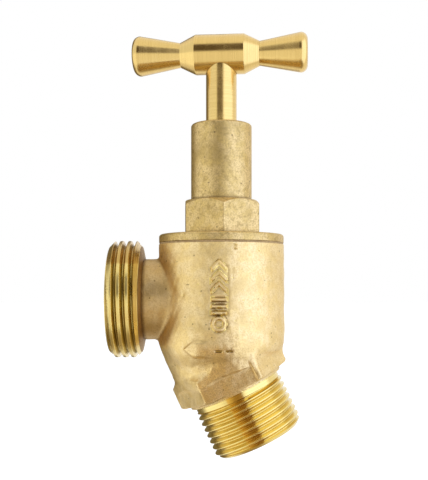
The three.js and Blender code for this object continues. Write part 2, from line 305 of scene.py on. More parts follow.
def thread_outline(thread, gap):
    """One pitch of a rounded thread, as [radius, share of the pitch] points."""
    root_r = thread["root_r"] + gap
    depth = thread["crest_r"] - thread["root_r"]
    narrower = gap / thread["pitch"] / 2
    rising = [
        (root_r + depth * rise, share * thread["groove"] - narrower) for rise, share in FLANK
    ]
    falling = [(radius, 1 - share) for radius, share in reversed(rising)]
    return [(root_r, 0.0), *rising, *falling, (root_r, 1.0)]


def screw(name, thread, low, high, gap=0.0, sides=FINE):
    """A right-hand screw about Z, longer than low to high at both ends.

    Its surface is one ribbon, a pitch wide, wound up the screw so that each turn's upper edge
    is the next turn's lower edge. gap grows it into the cutter for the matching nut thread.
    """
    pitch = thread["pitch"]
    outline = thread_outline(thread, gap)
    width = len(outline)
    first = math.floor(sides * (low / pitch - 1))
    rows = math.ceil(sides * high / pitch) - first
    points = []
    for row in range(rows + 1):
        turns = (first + row) / sides
        c, s = math.cos(2 * math.pi * turns), math.sin(2 * math.pi * turns)
        points += [(r * c, r * s, pitch * (turns + share)) for r, share in outline]
    bottom, top = len(points), len(points) + 1
    points += [(0, 0, pitch * (first / sides + 0.5)), (0, 0, pitch * ((first + rows) / sides + 0.5))]

    def at(row, k):
        if k == width - 1 and row + sides <= rows:
            row, k = row + sides, 0
        return row * width + k

    faces = []
    for row in range(rows):
        for k in range(width - 1):
            faces.append((at(row, k), at(row + 1, k), at(row + 1, k + 1), at(row, k + 1)))
    for i in range(sides):
        upper = rows - sides + i
        faces.append((bottom, at(i + 1, 0), at(i, 0)))
        faces.append((top, at(upper, width - 1), at(upper + 1, width - 1)))
    for k in range(width - 1):
        faces.append((bottom, at(0, k), at(0, k + 1)))
        faces.append((top, at(rows, k + 1), at(rows, k)))
    used = sorted({i for face in faces for i in face})
    renumber = {old: new for new, old in enumerate(used)}
    return mesh_object(
        name, [points[i] for i in used], [tuple(renumber[i] for i in face) for face in faces]
    )


def placed(obj, matrix):
    obj.data.transform(matrix)
    return obj


def boolean(target, operation, *others):
    """Joins, cuts or trims a solid with others, which are used up."""
    for other in others:
        step = target.modifiers.new("solid", "BOOLEAN")
        step.solver = "MANIFOLD"
        step.operation = operation
        step.object = other
        graph = bpy.context.evaluated_depsgraph_get()
        made = bpy.data.meshes.new_from_object(target.evaluated_get(graph), depsgraph=graph)
        made.materials.clear()
        target.modifiers.clear()
        old, target.data = target.data, made
        bpy.data.meshes.remove(old)
        bpy.data.objects.remove(other)
    return target


def join(target, *others):
    return boolean(target, "UNION", *others)


def cut(target, *others):
    return boolean(target, "DIFFERENCE", *others)


def port_thread(name, port):
    """A male port thread, run out at its start and with a lead-in chamfer at its end."""
    clear_r = port["crest_r"] + RUN_OUT["above"]
    start_r = port["root_r"] - RUN_OUT["below"]
    low, high, lead_in = port["thread_from"], port["end"], port["lead_in"]
    blank = lathe(
        name + "_blank",
        [
            (start_r, low),
            (clear_r, low + (clear_r - start_r) * RUN_OUT["slope"]),
            (clear_r, high - lead_in),
            (clear_r - lead_in, high),
        ],
    )
    thread = placed(screw(name, port, low, high), Matrix.Rotation(port["start"], 4, "Z"))
    return boolean(thread, "INTERSECT", blank)


# ---------- the cast skin of the body

VOXEL = 0.3
SKIN_BOX = ((-23.5, -20.0, -34.0), (20.5, 20.0, 18.6))
TRIM = {"r": 24.0, "height": 4.0}  # what is cut off above the body, so that its top is flat


def smooth_min(a, b, blend):
    share = np.clip(0.5 + 0.5 * (b - a) / blend, 0, 1)
    return b * (1 - share) + a * share - blend * share * (1 - share)


def smooth_max(a, b, blend):
    return -smooth_min(-a, -b, blend)


def step_between(value, low, high):
    """0 below low, 1 above high, with a smooth rise."""
    t = np.clip((value - low) / (high - low), 0, 1)
    return t * t * (3 - 2 * t)


# Generic foundry marks on the front: chevrons that point up, over size bars and a ring.
MARKS = {
    "x": -0.6,
    "height": 0.45,
    "moat": 0.16,
    "moat_width": 0.4,
    "edge": 0.24,
    "chevrons_z": (10.3, 7.4, 4.5),
    "chevron_half": 2.1,
    "bars_z": (0.2, -1.6, -3.4),
    "bar_half": 2.1,
    "stroke": 0.42,
    "ring_z": -6.3,
    "ring_r": 1.6,
    "tick": (4.0, 14.2, 0.3, 0.6),
}

# A smooth raised pad low on the front, pointed at its left and fading out at its right.
PAD = {
    "x": -6.4,
    "z": -13.2,
    "half_width": 3.8,
    "half_height": 2.1,
    "height": 0.55,
    "point": 1.5,
    "edge": 0.2,
    "fades": (-0.2, 1.0),
}

# The hexagon's front flat is ground lower, up to a step beside its right corner.
FACET = {"depth": 0.45, "step": (-7.15, -6.65), "along": (1.5, 4.5)}

GOUGE = {"z": -13.6, "half_height": 0.2, "depth": 0.4, "places": ((-0.7, 0.9), (2.1, 0.9))}

# Radii of the blends, the spans (in x, in y or towards the front) over which they change, where
# the neck begins and how far it laps its shoulder, and where the front half with the marks ends.
CASTING = {
    "front_blend": 6.0,
    "left_blend": 1.6,
    "right_blend": 1.2,
    "left_to_right": (-8, 4),
    "flow_in_y": (5, 15),
    "flow_ends_in_x": (3, 13),
    "neck_blend": 1.1,
    "neck_from": 8,
    "hex_blend": 1.6,
    "hex_front_blend": 2.4,
    "hex_facing": (8, 13),
    "hex_edge": 0.5,
    "hex_end_edge": 0.3,
    "hex_rim": 0.4,
    "boss_blend": 0.5,
    "neck_lap": 0.4,
    "front_half": -5,
}

# Blow holes: how many, between which heights, how wide, and how deep for their width.
PITS = {"count": 40, "half_height": 15, "smallest": 0.25, "largest": 0.45, "depth": 0.7}

# Wavelength and height of each set of crossed waves in the cast skin.
RIPPLES = ((9.0, 0.03), (5.0, 0.025), (3.0, 0.015), (1.8, 0.012))
WAVES_IN_SET = 5


def barrel_field(x, y, z):
    rise = (z - BODY["bottom_z"]) / (BODY["top_z"] - BODY["bottom_z"])
    side = np.hypot(x, y) - (BODY["foot_r"] + (BODY["top_r"] - BODY["foot_r"]) * rise)
    rounded = smooth_max(side, BODY["bottom_z"] - z, 2 * BODY["bottom_round"])
    return np.maximum(rounded, z - BODY["top_z"] - 2)


def bar(across, along, half_width, half_length):
    """How far a point lies outside a straight bar."""
    return np.maximum(np.abs(across) - half_width, np.abs(along) - half_length)


def chevron(across, along, half_width, stroke):
    """How far a point lies outside a chevron that points up, of 45 degree strokes."""
    off_stroke = np.abs(along + np.abs(across)) / math.sqrt(2) - stroke
    return np.maximum(off_stroke, np.abs(across) - half_width)


def inside(outside, edge):
    """1 inside an outline and 0 outside it, with a drafted edge."""
    return 1 - step_between(outside, -edge, edge)


def marks_outline(x, z):
    """How far a point lies outside the column of raised marks."""
    m = MARKS
    across, stroke = x - m["x"], m["stroke"]
    shapes = [chevron(across, z - tip_z, m["chevron_half"], stroke) for tip_z in m["chevrons_z"]]
    shapes += [bar(across, z - bar_z, m["bar_half"], stroke) for bar_z in m["bars_z"]]
    shapes.append(np.abs(np.hypot(across, z - m["ring_z"]) - m["ring_r"]) - stroke)
    return np.minimum.reduce(shapes)


def pad_mask(x, z):
    """1 on the pad. Its outline, edge and fading are shares of its half width and half height."""
    across, along = (x - PAD["x"]) / PAD["half_width"], (z - PAD["z"]) / PAD["half_height"]
    lens = np.abs(along) - np.clip(PAD["point"] * (across + 1), -1, 1)
    return inside(lens, PAD["edge"]) * (1 - step_between(across, *PAD["fades"]))


def front_marks(x, y, z):
    """How far the marks, a tick, the pad and two gouges stand out of the front."""
    outline, edge = marks_outline(x, z), MARKS["edge"]
    raised = inside(outline, edge)
    moat = inside(outline - MARKS["moat_width"], edge) - raised
    tick_x, tick_z, half_width, half_length = MARKS["tick"]
    raised = np.maximum(raised, inside(bar(x - tick_x, z - tick_z, half_width, half_length), edge))
    relief = MARKS["height"] * raised - MARKS["moat"] * moat + PAD["height"] * pad_mask(x, z)
    for gouge_x, half_width in GOUGE["places"]:
        gouge = bar(x - gouge_x, z - GOUGE["z"], half_width, GOUGE["half_height"])
        relief = relief - GOUGE["depth"] * inside(gouge, edge)
    return np.where(y < CASTING["front_half"], relief, 0)


def pits(x, y, z):
    """Small blow holes scattered over the skin."""
    rng = np.random.default_rng(23)
    depth = np.zeros_like(x)
    for _ in range(PITS["count"]):
        turn = rng.uniform(0, 2 * math.pi)
        height = rng.uniform(-PITS["half_height"], PITS["half_height"])
        size = rng.uniform(PITS["smallest"], PITS["largest"])
        out = BODY["top_r"]
        apart = np.sqrt(
            (x - out * math.cos(turn)) ** 2 + (y - out * math.sin(turn)) ** 2 + (z - height) ** 2
        )
        depth = np.maximum(depth, PITS["depth"] * size * (1 - step_between(apart, 0, size)))
    return depth


def neck_field(x, y, z):
    out = -x
    ends = np.maximum(CASTING["neck_from"] - out, out - OUTLET["shoulder"] - CASTING["neck_lap"])
    return np.maximum(np.hypot(y, z) - OUTLET["neck_r"], ends)


def inlet_coordinates(x, y, z):
    """Across the hexagon's corners, across its flats, and along the inlet axis."""
    c, s = math.cos(INLET["tilt"]), math.sin(INLET["tilt"])
    dz = z - INLET["crossing_z"]
    return -(x * c + dz * s), y, x * s - dz * c


def inlet_field(x, y, z):
    across, side, along = inlet_coordinates(x, y, z)
    radius = np.hypot(across, side)
    tube = smooth_max(radius - INLET["tube_r"], INLET["tube_from"] - along, INLET["tube_round"])
    tube = np.maximum(tube, along - INLET["tube_to"])
    flat_r = INLET["hex_corner_r"] * math.cos(math.pi / 6)
    prism = np.abs(side) - flat_r
    for turn in (math.pi / 6, -math.pi / 6):
        flat = np.abs(across * math.cos(turn) + side * math.sin(turn)) - flat_r
        prism = smooth_max(prism, flat, CASTING["hex_edge"])
    ground = step_between(across, *FACET["step"]) * step_between(along, *FACET["along"])
    dressed = -side - flat_r + FACET["depth"] * ground
    prism = np.maximum(prism, dressed)
    # The ends are 60 degree cones, and the distance from such a cone is half of the sum.
    slope = math.tan(math.pi / 3)
    top = (radius - INLET["hex_top_r"] - slope * (along - INLET["hex_from"])) / 2
    foot = (radius - INLET["hex_foot_r"] + slope * (along - INLET["hex_to"])) / 2
    ends = np.maximum(INLET["hex_from"] - along, along - INLET["hex_to"])
    ends = smooth_max(np.maximum(top, foot), ends, CASTING["hex_end_edge"])
    hexed = smooth_max(prism, ends, CASTING["hex_rim"])
    boss = np.maximum(radius - INLET["boss_r"], np.maximum(-along, along - INLET["boss_to"]))
    return tube, smooth_min(hexed, boss, CASTING["boss_blend"])


def ripple(x, y, z):
    """The slow unevenness of a sand casting, as a few crossed waves."""
    rng = np.random.default_rng(7)
    total = np.zeros_like(x)
    for wavelength, height in RIPPLES:
        for _ in range(WAVES_IN_SET):
            way = rng.normal(size=3)
            way *= 2 * math.pi / wavelength / np.linalg.norm(way)
            phase = rng.uniform(0, 2 * math.pi)
            total += height / 2 * np.sin(x * way[0] + y * way[1] + z * way[2] + phase)
    return total


def skin_field(x, y, z):
    """Below 0 inside the casting. At its front and back the barrel flows into the inlet tube."""
    c = CASTING
    tube, hexed = inlet_field(x, y, z)
    flowing = step_between(np.abs(y), *c["flow_in_y"])
    flowing = flowing * (1 - step_between(x, *c["flow_ends_in_x"]))
    rightward = step_between(x, *c["left_to_right"])
    side_blend = c["left_blend"] + (c["right_blend"] - c["left_blend"]) * rightward
    tube_blend = side_blend + (c["front_blend"] - side_blend) * flowing
    body = smooth_min(barrel_field(x, y, z), tube, tube_blend)
    facing = step_between(-y, *c["hex_facing"])
    hex_blend = c["hex_blend"] + (c["hex_front_blend"] - c["hex_blend"]) * facing
    body = smooth_min(body, hexed, hex_blend)
    body = smooth_min(body, neck_field(x, y, z), c["neck_blend"])
    return body + ripple(x, y, z) + pits(x, y, z) - front_marks(x, y, z)


def settle(points, field, rounds=3, probe=0.02):
    """Moves points onto the field's zero surface along its slope."""
    for _ in range(rounds):
        value = field(*points.T)
        slope = np.stack(
            [(field(*(points + step).T) - value) / probe for step in probe * np.eye(3)], axis=1
        )
        steep = np.maximum((slope**2).sum(axis=1), 0.2)
        points = points - (np.clip(value / steep, -VOXEL, VOXEL)[:, None] * slope)
    return points


def cast_skin(name):
    """The outside of the casting as a closed mesh on the zero surface of skin_field."""
    low, high = np.array(SKIN_BOX)
    first = np.floor(low / VOXEL).astype(int)
    count = np.ceil((high - low) / VOXEL).astype(int)
    axes = [(first[i] + np.arange(count[i])) * VOXEL for i in range(3)]
    values = skin_field(*np.meshgrid(*axes, indexing="ij")).astype(np.float32)
    grid = openvdb.FloatGrid(background=float(VOXEL * 3))
    grid.transform = openvdb.createLinearTransform(voxelSize=VOXEL)
    grid.copyFromArray(np.clip(values, -3 * VOXEL, 3 * VOXEL), ijk=tuple(int(i) for i in first))
    points, quads = grid.convertToQuads(isovalue=0.0)
    points = settle(points.astype(float), skin_field)
    return mesh_object(name, points, [tuple(int(i) for i in quad) for quad in quads])


# ---------- pieces


def shoulder_ring():
    """The conical shoulder behind the outlet's thread."""
    o = OUTLET
    rise = (o["thread_from"] - o["shoulder"]) / (o["shoulder_r"] - o["neck_r"])
    inner_r = o["neck_r"] - LAP
    return lathe(
        "shoulder",
        [
            (inner_r, o["shoulder"] - 1.3),
            (inner_r, o["shoulder"] - rise),
            (o["shoulder_r"], o["thread_from"]),
            (o["shoulder_r"], o["thread_from"] + LAP),
        ],
    )


def chamber():
    """The waterway about the spindle's axis: under the seat, through it and up to the bonnet."""
    b = BODY
    return lathe(
        "chamber",
        [
            (b["under_seat_r"], b["under_seat_z"]),
            (b["under_seat_r"], b["web_bottom_z"]),
            (b["seat_hole_r"], b["web_bottom_z"]),
            (b["seat_hole_r"], b["seat_z"]),
            (b["seat_lip_r"], b["seat_z"]),
            (b["seat_foot_r"], b["web_top_z"]),
            (b["chamber_r"], b["web_top_z"]),
            (b["chamber_r"], b["bonnet_bore_z"]),
            (b["bonnet_bore_r"], b["bonnet_bore_z"]),
            (b["bonnet_bore_r"], b["top_z"] + LAP),
        ],
    )


def outlet_bore():
    o = OUTLET
    mouth_from = o["end"] - o["mouth_depth"]
    bore = lathe(
        "outlet_bore",
        [
            (o["bore_r"], o["bore_from"]),
            (o["bore_r"], mouth_from),
            (o["mouth_r"], mouth_from),
            (o["mouth_r"], o["end"] - o["mouth_chamfer"]),
            (o["mouth_r"] + o["mouth_chamfer"] + LAP, o["end"] + LAP),
        ],
    )
    return placed(bore, OUTLET_FRAME)


def inlet_bore():
    i = INLET
    bore = lathe(
        "inlet_bore",
        [
            (i["bore_r"], 0),
            (i["bore_r"], i["end"] - i["bore_chamfer"]),
            (i["bore_r"] + i["bore_chamfer"] + LAP, i["end"] + LAP),
        ],
    )
    return placed(bore, INLET_FRAME)


def tap_body():
    """The casting with its machined ports, threads, seat and bores."""
    body = cast_skin("tap_body_fine")
    outlet = placed(join(port_thread("outlet_thread", OUTLET), shoulder_ring()), OUTLET_FRAME)
    land = rod("land", INLET["land_r"], INLET["hex_to"] - LAP, INLET["thread_from"] + 0.5)
    inlet = placed(join(port_thread("inlet_thread", INLET), land), INLET_FRAME)
    join(body, outlet, inlet)
    trim = rod("trim", TRIM["r"], BODY["top_z"], BODY["top_z"] + TRIM["height"])
    cut(body, trim, chamber(), outlet_bore(), inlet_bore())
    return mark_machined(body)


def mark_machined(body):
    """Gives the outlet's material, or the inlet's, to each machined face.

    These are the faces off the cast skin, but for the shoulder behind the outlet's thread.
    """
    centres = np.empty(len(body.data.polygons) * 3)
    body.data.polygons.foreach_get("center", centres)
    x, y, z = centres.reshape(-1, 3).T
    off_skin = (np.abs(skin_field(x, y, z)) > 0.05) | (z > BODY["top_z"] - 0.01)
    in_bore = np.hypot(y, z) < OUTLET["neck_r"] - 1.5
    past_shoulder = x < -OUTLET["thread_from"] - 0.02
    before_shoulder = x > -OUTLET["shoulder"] + 3
    machined = off_skin & (in_bore | past_shoulder | before_shoulder)
    material = np.where(z < BODY["bottom_z"], 2, 1)
    body.data.polygons.foreach_set("material_index", (machined * material).astype(np.int32))
    return body


def bonnet():
    """Flange, hexagon and seal barrel in one piece, bored for the spindle's screw and stem."""
    b = BONNET
    flange = lathe(
        "bonnet_fine",
        [
            (b["spigot_r"] - 0.6, b["spigot_bottom_z"]),
            (b["spigot_r"], b["spigot_bottom_z"] + 0.6),
            (b["spigot_r"], b["flange_bottom_z"]),
            (b["flange_r"] - 0.15, b["flange_bottom_z"]),
            (b["flange_r"], b["flange_bottom_z"] + 0.15),
            *arc(
                b["flange_r"] - b["flange_round"],
                b["flange_top_z"] - b["flange_round"],
                b["flange_round"],
                0,
                math.pi / 2,
            ),
        ],
    )
    past_corner_r = b["hex_corner_r"] + LAP
    chamfer_drop = (past_corner_r - b["hex_chamfer_r"]) * math.tan(b["hex_chamfer"])
    low = b["flange_top_z"] - LAP
    hex_blank = lathe(
        "hex_blank",
        [
            (past_corner_r, low),
            (past_corner_r, b["hex_top_z"] - chamfer_drop),
            (b["hex_chamfer_r"], b["hex_top_z"]),
        ],
    )
    prism = hexagon(
        "prism", b["hex_corner_r"], low - 0.3, b["hex_top_z"] + LAP, -math.pi / 2 + b["hex_turn"]
    )
    hexed = boolean(prism, "INTERSECT", hex_blank)
    barrel = lathe(
        "barrel",
        [
            (b["barrel_r"], b["hex_top_z"] - LAP),
            *arc(
                b["barrel_r"] - b["barrel_round"],
                b["barrel_top_z"] - b["barrel_round"],
                b["barrel_round"],
                0,
                math.pi / 2,
            ),
        ],
    )
    join(flange, hexed, barrel)
    drive_r = DRIVE["crest_r"] + DRIVE["gap"] + 0.1
    bore = lathe(
        "bore",
        [
            (b["spigot_bore_r"], b["spigot_bottom_z"] - LAP),
            (b["spigot_bore_r"], b["nut_from_z"]),
            (DRIVE["root_r"], b["nut_from_z"] + 1),
            (DRIVE["root_r"], b["nut_to_z"]),
            (drive_r, b["nut_to_z"]),
            (drive_r, b["relief_z"] - 1),
            (b["bore_r"], b["relief_z"]),
            (b["bore_r"], b["bore_top_z"]),
            (b["stem_hole_r"], b["bore_top_z"]),
            (b["stem_hole_r"], b["barrel_top_z"] - 0.3),
            (b["stem_hole_r"] + 0.8, b["barrel_top_z"] + 0.5),
        ],
        SMALL,
    )
    nut_zone = rod("nut_zone", drive_r + 1, b["nut_from_z"], b["nut_to_z"] + 0.5, SMALL)
    nut = screw("nut", DRIVE, b["nut_from_z"], b["nut_to_z"] + 1, DRIVE["gap"], SMALL)
    return cut(flange, bore, boolean(nut, "INTERSECT", nut_zone))


def body_washer():
    low, high = BODY["top_z"] + BODY_WASHER["gap"], BONNET["flange_bottom_z"] - BODY_WASHER["gap"]
    disc = rod("body_washer_fine", BODY_WASHER["outer_r"], low, high)
    return cut(disc, rod("hole", BODY_WASHER["inner_r"], low - LAP, high + LAP))


def spindle():
    """The rising stem: foot with the valve's bore, coarse screw, seal land, stem and rivet end."""
    s = SPINDLE
    half = O_RING["groove_width"] / 2
    grooves = []
    for centre in O_RING["centres_z"]:
        grooves += [
            (s["land_r"], centre - half),
            (O_RING["groove_r"], centre - half),
            (O_RING["groove_r"], centre + half),
            (s["land_r"], centre + half),
        ]
    shaft = lathe(
        "spindle_fine",
        [
            (s["foot_r"] - 0.5, s["foot_z"]),
            (s["foot_r"], s["foot_z"] + 0.5),
            (s["foot_r"], s["land_from_z"] - 0.5),
            (s["land_r"], s["land_from_z"]),
            *grooves,
            (s["land_r"], s["land_to_z"] - 0.5),
            (s["stem_r"], s["land_to_z"]),
            (s["stem_r"], s["shoulder_z"]),
            (s["spigot_r"], s["shoulder_z"]),
            (s["spigot_r"], s["rivet_from_z"]),
            *[
                (s["spigot_r"] + (s["rivet_r"] - s["spigot_r"]) * t**2,
                 s["rivet_from_z"] + (s["top_z"] - 0.15 - s["rivet_from_z"]) * t)
                for t in (0.4, 0.7, 1.0)
            ],
            (s["rivet_r"], s["top_z"]),
        ],
        96,
    )
    blank_r = DRIVE["crest_r"] + 0.4
    blank = lathe(
        "blank",
        [
            (DRIVE["root_r"] - 0.1, s["screw_from_z"]),
            (blank_r, s["screw_from_z"] + DRIVE["lower_run_out"]),
            (blank_r, s["screw_to_z"] - DRIVE["upper_run_out"]),
            (blank_r - DRIVE["upper_run_out"], s["screw_to_z"]),
        ],
        SMALL,
    )
    drive = screw("drive", DRIVE, s["screw_from_z"], s["screw_to_z"], 0.0, SMALL)
    join(shaft, boolean(drive, "INTERSECT", blank))
    pin_bore = rod("pin_bore", s["pin_bore_r"], s["foot_z"] - LAP, s["pin_bore_top_z"], SMALL)
    boss = rod("boss", HANDLE["boss_r"] - s["rivet_gap"], -HANDLE["boss_half"], HANDLE["boss_half"])
    placed(boss, Matrix.Translation((0, 0, HANDLE["axis_z"])) @ Matrix.Rotation(math.pi / 2, 4, "Y"))
    placed(boss, Matrix.Rotation(HANDLE["turn"], 4, "Z"))
    below = rod("below", HANDLE["boss_half"] - 0.5, s["foot_z"] - LAP, HANDLE["axis_z"])
    return boolean(cut(shaft, pin_bore), "INTERSECT", join(boss, below))


def o_ring(name, centre_z):
    """A round ring, closed on itself both ways."""
    centre_r = O_RING["groove_r"] + O_RING["section_r"] + 0.1
    around, across = SMALL, 16
    points, faces = [], []
    for i in range(around):
        a = 2 * math.pi * i / around
        for k in range(across):
            b = 2 * math.pi * k / across
            r = centre_r + O_RING["section_r"] * math.cos(b)
            z = centre_z + O_RING["section_r"] * math.sin(b)
            points.append((r * math.cos(a), r * math.sin(a), z))
            ahead, up = (i + 1) % around, (k + 1) % across
            faces.append(
                (i * across + k, ahead * across + k, ahead * across + up, i * across + up)
            )
    return mesh_object(name, points, faces)


def handle_outline():
    """Half of the bar's outline, from the end face to the middle of the boss."""
    h = HANDLE
    flare = [
        (h["neck_r"] + (h["arm_r"] - h["neck_r"]) * t, h["neck_x"] + (h["arm_x"] - h["neck_x"]) * t)
        for t in np.linspace(0.96, 0.04, 10)
    ]
    round_r = h["neck_round"]
    neck = arc(h["neck_r"] + round_r, h["neck_x"], round_r, math.pi * 1.06, math.pi * 0.8, 3)
    return [
        (h["arm_r"] - h["end_round"] - 0.6, h["half_length"]),
        *arc(
            h["arm_r"] - h["end_round"],
            h["half_length"] - h["end_round"],
            h["end_round"],
            math.pi * 0.45,
            0,
            8,
        ),
        *flare,
        *neck[1:],
        (h["boss_r"] - h["boss_edge"], h["boss_half"] + 0.16),
        (h["boss_r"], h["boss_half"] - 0.1),
    ]


def tee_handle():
    """The turned cross bar, bored from below for the spindle and countersunk for its rivet."""
    half = handle_outline()
    outline = [(r, -x) for r, x in half] + half[::-1]
    bar = lathe("tee_handle_fine", outline, 96)
    place = Matrix.Translation((HANDLE["offset"], 0, HANDLE["axis_z"]))
    placed(bar, place @ Matrix.Rotation(math.pi / 2, 4, "Y"))
    s = SPINDLE
    socket = rod("socket", s["stem_r"] + 0.06, 0, s["shoulder_z"] + 0.05, 96)
    rivet_hole = lathe(
        "rivet_hole",
        [
            (s["spigot_r"] + 0.1, s["shoulder_z"] - LAP),
            (s["spigot_r"] + 0.1, s["rivet_from_z"] - 0.1),
            (s["rivet_r"] + s["rivet_gap"], s["top_z"] - 0.15),
            (s["rivet_r"] + s["rivet_gap"], s["top_z"] + LAP),
        ],
        SMALL,
    )
    cut(bar, socket, rivet_hole)
    return placed(bar, Matrix.Rotation(HANDLE["turn"], 4, "Z"))


def jumper_valve():
    j = JUMPER
    return lathe(
        "jumper_valve_fine",
        [
            (j["stud_r"] - 0.3, j["stud_bottom_z"]),
            (j["stud_r"], j["stud_bottom_z"] + 0.3),
            (j["stud_r"], j["disc_bottom_z"]),
            (j["disc_r"] - 0.2, j["disc_bottom_z"]),
            (j["disc_r"], j["disc_bottom_z"] + 0.2),
            (j["disc_r"], j["disc_top_z"] - 0.4),
            (j["disc_r"] - 0.4, j["disc_top_z"]),
            (j["pin_r"] + 0.2, j["disc_top_z"]),
            (j["pin_r"], j["disc_top_z"] + 0.2),
            (j["pin_r"], j["pin_top_z"] - 0.8),
            (j["pin_r"] - 0.8, j["pin_top_z"]),
        ],
        SMALL,
    )


def jumper_washer():
    j = JUMPER
    low, high, r = BODY["seat_z"] + 0.05, j["disc_bottom_z"] - 0.05, j["washer_r"]
    rubber = lathe(
        "jumper_washer_fine",
        [(r - 0.5, low), (r, low + 0.5), (r, high - 0.2), (r - 0.2, high)],
        SMALL,
    )
    return cut(rubber, rod("hole", j["stud_r"] + 0.2, low - LAP, high + LAP, SMALL))


def jumper_nut():
    j = JUMPER
    high = BODY["seat_z"]
    low = high - j["nut_height"]
    blank = lathe(
        "nut_blank",
        [
            (j["nut_corner_r"] - 0.6, low),
            (j["nut_corner_r"] + 0.1, low + 0.45),
            (j["nut_corner_r"] + 0.1, high - 0.05),
        ],
        SMALL,
    )
    nut = hexagon("jumper_nut_fine", j["nut_corner_r"], low - LAP, high + LAP, 0.0, 0.1)
    boolean(nut, "INTERSECT", blank)
    return cut(nut, rod("hole", j["stud_r"] + 0.1, low - LAP, high + LAP, SMALL))


# ---------- materials


class Nodes:
    """A short way to write a node tree. Each call adds one node and gives its output."""

    def __init__(self, tree):
        self.tree = tree
        tree.nodes.clear()

    def add(self, kind, inputs=(), output=0, **settings):
        node = self.tree.nodes.new("ShaderNode" + kind)
        for name, value in settings.items():
            setattr(node, name, value)
        for name, value in dict(inputs).items():
            if isinstance(value, bpy.types.NodeSocket):
                self.tree.links.new(value, node.inputs[name])
            else:
                node.inputs[name].default_value = value
        return node.outputs[output] if node.outputs else None

    def math(self, operation, a, b=0.0, clamp=False):
        return self.add("Math", {0: a, 1: b}, operation=operation, use_clamp=clamp)

    def noise(self, where, size, detail=2.0, rough=0.5):
        """Soft noise about 0.5 whose blobs are about size millimetres across."""
        inputs = {"Vector": where, "Scale": 1 / (size * MM), "Detail": detail, "Roughness": rough}
        return self.add("TexNoise", inputs)

    def distance_along(self, where, axis):
        return self.add("VectorMath", {0: where, 1: axis}, output=1, operation="DOT_PRODUCT")

    def rings(self, along, width):
        """Rings of uneven brightness, each about width millimetres wide along a distance."""
        inputs = {"W": along, "Scale": 1 / (width * MM), "Detail": 2.0}
        return self.add("TexNoise", inputs, noise_dimensions="1D")

    def rise(self, value, low, high, to_low=0.0, to_high=1.0):
        """A smooth step from to_low, where value is low, to to_high, where it is high."""
        inputs = {0: value, 1: low, 2: high, 3: to_low, 4: to_high}
        return self.add("MapRange", inputs, interpolation_type="SMOOTHSTEP")

    def rise_mm(self, length, low, high, to_low=0.0, to_high=1.0):
        """The same step along a length, with low and high in millimetres."""
        return self.rise(length, low * MM, high * MM, to_low, to_high)

    def mix(self, share, a, b, blend="MIX"):
        inputs = {0: share, 6: colour(a), 7: colour(b)}
        return self.add("Mix", inputs, output=2, data_type="RGBA", blend_type=blend)

    def bump(self, height, depth, normal=None):
        """Height from 0 to 1 as a relief depth millimetres deep."""
        inputs = {"Height": height, "Distance": depth * MM, "Strength": 1.0}
        if normal is not None:
            inputs["Normal"] = normal
        return self.add("Bump", inputs)


def colour(value):
    """A colour of three numbers gets its alpha; a socket stays as it is."""
    return value if isinstance(value, bpy.types.NodeSocket) else (*value, 1.0)


def new_material(name):
    made = bpy.data.materials.new(name)
    made.use_nodes = True
    return made, Nodes(made.node_tree)


def finish_material(nodes, **inputs):
    surface = nodes.add("BsdfPrincipled", {k.replace("_", " "): v for k, v in inputs.items()})
    nodes.add("OutputMaterial", {"Surface": surface})


def corner_shade(nodes, reach):
    """1 on open surfaces, falling towards 0 in corners closer than reach millimetres, which sets
    where painted shade goes.
    """
    return nodes.add("AmbientOcclusion", {"Distance": reach * MM}, output=1, samples=8)


# What dulls and shades the cast brass, as factors on its colour: a duller skin with painted shade on
# the neck and shoulder, and the ground flat's rough tones, also used as painted shade over it. On
# the neck it sets in over NECK_SPAN.
NECK_SPAN = (12, 13)
NECK_DULL_AND_SHADE = (0.71, 0.65, 0.59)
SHOULDER_DULL_AND_SHADE = (0.5, 0.42, 0.32)
FACET_DULL_AND_SHADE = ((0.82, 0.77, 0.7), (1.0, 0.98, 0.93))

# The painted shade over the ground flat: along and across the inlet axis, and towards the front.
OVER_FACET_SHADE = {"along": (-10, 0), "across": (8.5, 4), "forward": (12, 14), "strength": 0.8}

# Painted shade on a thread's upper side, by height above its axis, and painted shade in all grooves.
UPPER_SIDE_SHADE = {"from": 9.4, "to": 10.4, "colours": ((0.42, 0.25, 0.05), (0.72, 0.46, 0.11))}
GROOVE_SHADE_TONE = (0.2, 0.15, 0.02)


def cast_brass(name, pale, yellow, tan, dark, mottle, pocks, polish):
    """Blasted cast brass: fine grain over cloudy patches, with painted brown shade in its corners,
    and painted shade with a duller skin on the neck.
    """
    made, n = new_material(name)
    where = n.add("TexCoord", output=3)
    clouds = n.noise(where, 7, 3)
    patches = n.noise(where, 3.4, 4, 0.6)
    lumps = n.noise(where, 1.3, 3, 0.6)
    grain = n.noise(where, 0.4, 2, 0.6)
    specks = n.add("TexVoronoi", {"Vector": where, "Scale": 1 / (2.6 * MM)}, feature="F1")
    tone = n.mix(n.rise(patches, 0.4, 0.62), pale, yellow)
    tone = n.mix(n.rise(clouds, 0.48, 0.7, 0, 0.45), tone, tan)
    tone = n.mix(n.rise(lumps, 0.5, 0.3, 0, mottle), tone, tan)
    tone = n.mix(n.rise(grain, 0.58, 0.32, 0, 0.55), tone, tan)
    tone = n.mix(n.rise(specks, pocks, pocks / 2, 0, 0.7), tone, dark)
    tone = neck_dulled_and_shaded(n, where, tone)
    tone = facet_dulled_and_shaded(n, where, grain, tone)
    # Painted shade: the colour goes towards dark brown in corners closer than 1.3 mm.
    tone = n.mix(n.rise(corner_shade(n, 1.3), 0.95, 0.55, 0, 0.9), tone, dark)
    height = n.math("MULTIPLY", grain, 0.05)
    height = n.math("ADD", height, n.math("MULTIPLY", lumps, 0.06))
    height = n.math("ADD", height, n.math("MULTIPLY", patches, 0.05))
    finish_material(
        n,
        Base_Color=tone,
        Metallic=1.0,
        Roughness=n.rise(grain, 0.3, 0.7, polish + 0.08, polish - 0.06),
        Normal=n.bump(height, 1.0),
    )
    return made


